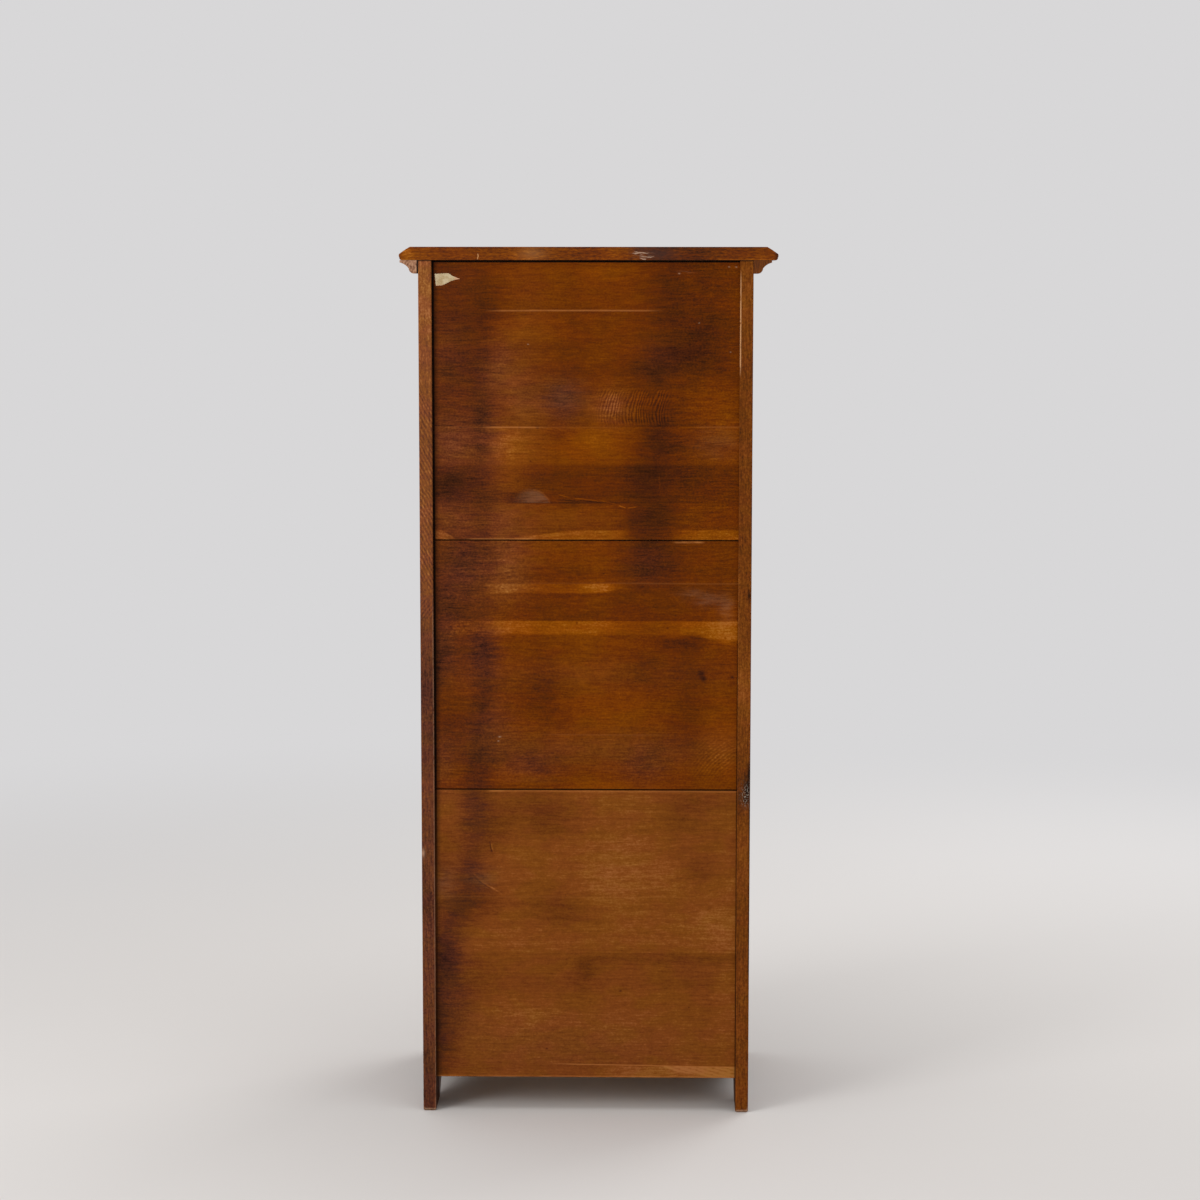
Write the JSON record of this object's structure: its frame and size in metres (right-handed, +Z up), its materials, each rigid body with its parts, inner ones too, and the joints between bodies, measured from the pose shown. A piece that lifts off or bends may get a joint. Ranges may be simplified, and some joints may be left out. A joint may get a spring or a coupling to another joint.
{
  "type": "linen press",
  "caption": "Tall narrow wooden linen press: a pair of panelled doors over two long drawers, on arched feet.",
  "frame": {"origin": "on the floor, under the middle of the case; the top board sits 5 mm off it", "axes": "+Z up, the doors and drawers face -Y, the back faces +Y, +X is to the right of someone facing the doors"},
  "size_m": [0.684, 0.4584, 1.6],
  "materials": {
    "case_wood": "brown stain under satin varnish",
    "back_wood": "orange-brown stain, thin varnish",
    "inside_wood": "bare planed softwood",
    "turned_wood": "turned, stained and polished",
    "aged_brass": "tarnished brass",
    "dark_steel": "dark oiled iron"
  },
  "bodies": {
    "case": {"back_panel_lower": "back_wood", "back_panel_middle": "back_wood", "back_panel_upper": "back_wood", "crown_moulding": "case_wood", "cupboard_floor": "inside_wood", "drawer_runners": "inside_wood", "dust_board": "inside_wood", "floor_cleats": "inside_wood", "front_apron": "case_wood", "front_rail_drawer": "case_wood", "front_rail_middle": "case_wood", "front_rail_top": "case_wood", "hinge_leaves_case": "aged_brass", "hinge_pins": "aged_brass", "post_front_left": "case_wood", "post_front_right": "case_wood", "post_rear_left": "case_wood", "post_rear_right": "case_wood", "rear_rails": "inside_wood", "shelf_pegs": "inside_wood", "shelves": "inside_wood", "side_panels_left": "case_wood", "side_panels_right": "case_wood", "side_rails_left": "case_wood", "side_rails_right": "case_wood", "top_board": "case_wood", "top_glue_blocks": "inside_wood"},
    "door_left": {"door_bolt_plate": "aged_brass", "door_left_bottom_rail": "case_wood", "door_left_hinge_stile": "case_wood", "door_left_knob": "turned_wood", "door_left_meeting_stile": "case_wood", "door_left_middle_rail": "case_wood", "door_left_panels": "case_wood", "door_left_top_rail": "case_wood", "hinge_leaves_door_left": "aged_brass", "lock_keeper": "aged_brass"},
    "door_right": {"door_right_bottom_rail": "case_wood", "door_right_hinge_stile": "case_wood", "door_right_knob": "turned_wood", "door_right_meeting_stile": "case_wood", "door_right_middle_rail": "case_wood", "door_right_panels": "case_wood", "door_right_top_rail": "case_wood", "escutcheon": "aged_brass", "hinge_leaves_door_right": "aged_brass", "lock_case": "dark_steel"},
    "drawer_upper": {"drawer_upper_back": "inside_wood", "drawer_upper_bottom": "inside_wood", "drawer_upper_front": "case_wood", "drawer_upper_knobs": "turned_wood", "drawer_upper_sides": "inside_wood"},
    "drawer_lower": {"drawer_lower_back": "inside_wood", "drawer_lower_bottom": "inside_wood", "drawer_lower_front": "case_wood", "drawer_lower_knobs": "turned_wood", "drawer_lower_sides": "inside_wood"},
    "door_bolt": {"door_bolt": "aged_brass"},
    "lock_bolt": {"lock_bolt": "dark_steel"},
    "key": {"key": "dark_steel"}
  },
  "joints": [
    {"name": "door_left_hinge", "type": "hinge", "parent": "case", "child": "door_left", "pos_m": [-0.26175, -0.19435, 1.068], "axis": [0, 0, -1], "range_deg": [0, 180]},
    {"name": "door_right_hinge", "type": "hinge", "parent": "case", "child": "door_right", "pos_m": [0.26175, -0.19435, 1.068], "axis": [0, 0, 1], "range_deg": [0, 180]},
    {"name": "drawer_upper_slide", "type": "slide", "parent": "case", "child": "drawer_upper", "axis": [0, -1, 0], "range_m": [0, 0.28]},
    {"name": "drawer_lower_slide", "type": "slide", "parent": "case", "child": "drawer_lower", "axis": [0, -1, 0], "range_m": [0, 0.28]},
    {"name": "door_bolt_slide", "type": "slide", "parent": "door_left", "child": "door_bolt", "axis": [0, 0, 1], "range_m": [0, 0.014]},
    {"name": "key_turn", "type": "hinge", "parent": "door_right", "child": "key", "pos_m": [0.021, -0.19075, 1.0225], "axis": [0, 1, 0], "range_deg": [0, 90]},
    {"name": "lock_bolt_slide", "type": "slide", "parent": "door_right", "child": "lock_bolt", "axis": [-1, 0, 0], "range_m": [0, 0.01]}
  ],
  "couplings": [
    {"joint": "lock_bolt_slide", "follows": "key_turn", "m_per_rad": 0.006366}
  ]
}
